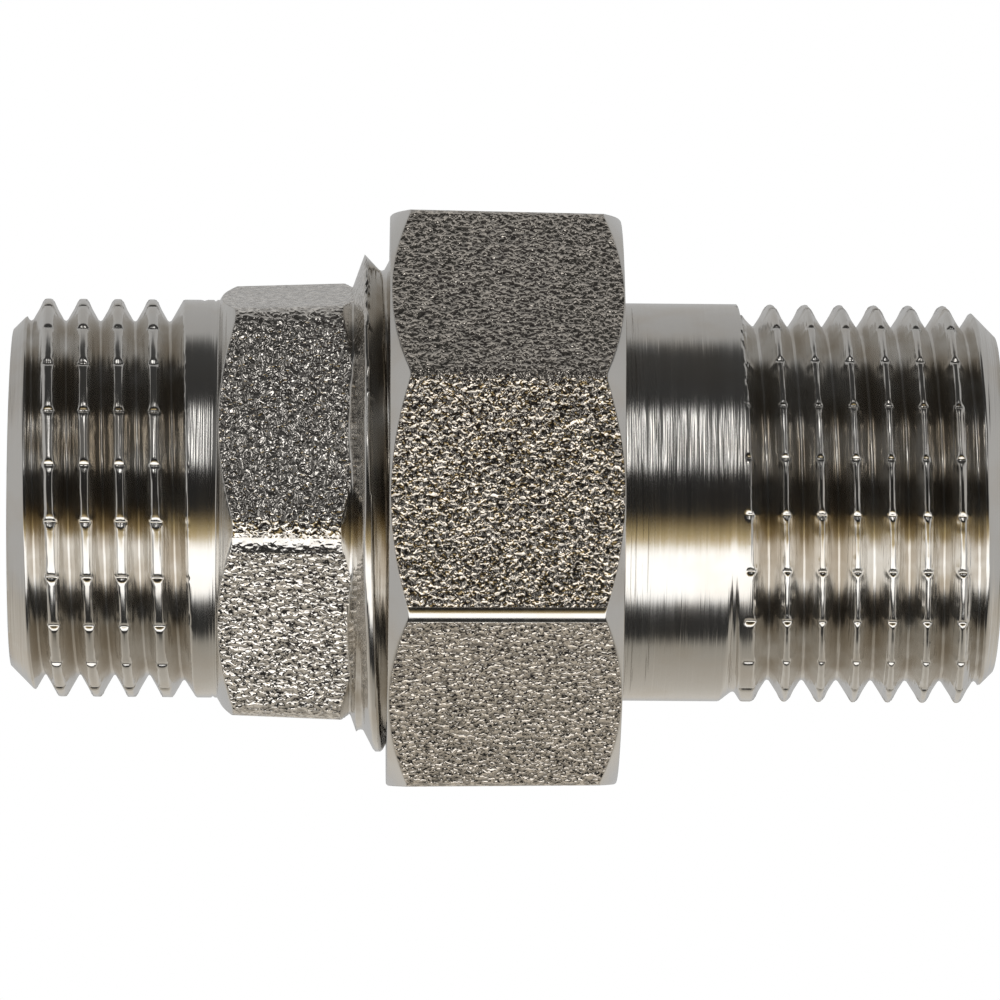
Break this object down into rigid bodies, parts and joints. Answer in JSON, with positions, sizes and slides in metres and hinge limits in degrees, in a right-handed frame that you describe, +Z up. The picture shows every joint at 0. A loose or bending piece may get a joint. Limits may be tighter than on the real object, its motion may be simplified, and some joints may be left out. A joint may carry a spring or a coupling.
{
  "type": "union nipple",
  "caption": "Straight pipe union nipple with male pipe threads at both ends, a hexagon, and an octagonal union nut that clamps a sealed conical seat.",
  "frame": {"origin": "centre of the fitting's box, on the pipe axis, halfway along the length", "axes": "+X along the pipe axis from the hexagon end towards the tailpiece end, +Z up, normal to a flat of the nut"},
  "size_m": [0.0516, 0.03, 0.03],
  "materials": {
    "nickel_end": "nickel plated, hexagon blasted, threads turned",
    "nickel_tail": "nickel plated, turned",
    "nickel_nut": "nickel plated, forged and blasted, chamfers turned",
    "seal_rubber": "satin moulded rubber"
  },
  "bodies": {
    "threaded_end": {"threaded_end": "nickel_end"},
    "tailpiece": {"tailpiece": "nickel_tail", "seat_o_ring": "seal_rubber"},
    "union_nut": {"union_nut": "nickel_nut"}
  },
  "joints": [
    {"name": "tail_slide", "type": "slide", "parent": "threaded_end", "child": "tailpiece", "axis": [1, 0, 0], "range_m": [0, 0.0059]},
    {"name": "nut_turn", "type": "hinge", "parent": "tailpiece", "child": "union_nut", "pos_m": [0, 0, 0], "axis": [1, 0, 0], "range_deg": [0, 1170]}
  ],
  "couplings": [
    {"joint": "tail_slide", "follows": "nut_turn", "m_per_rad": 0.00028871}
  ]
}
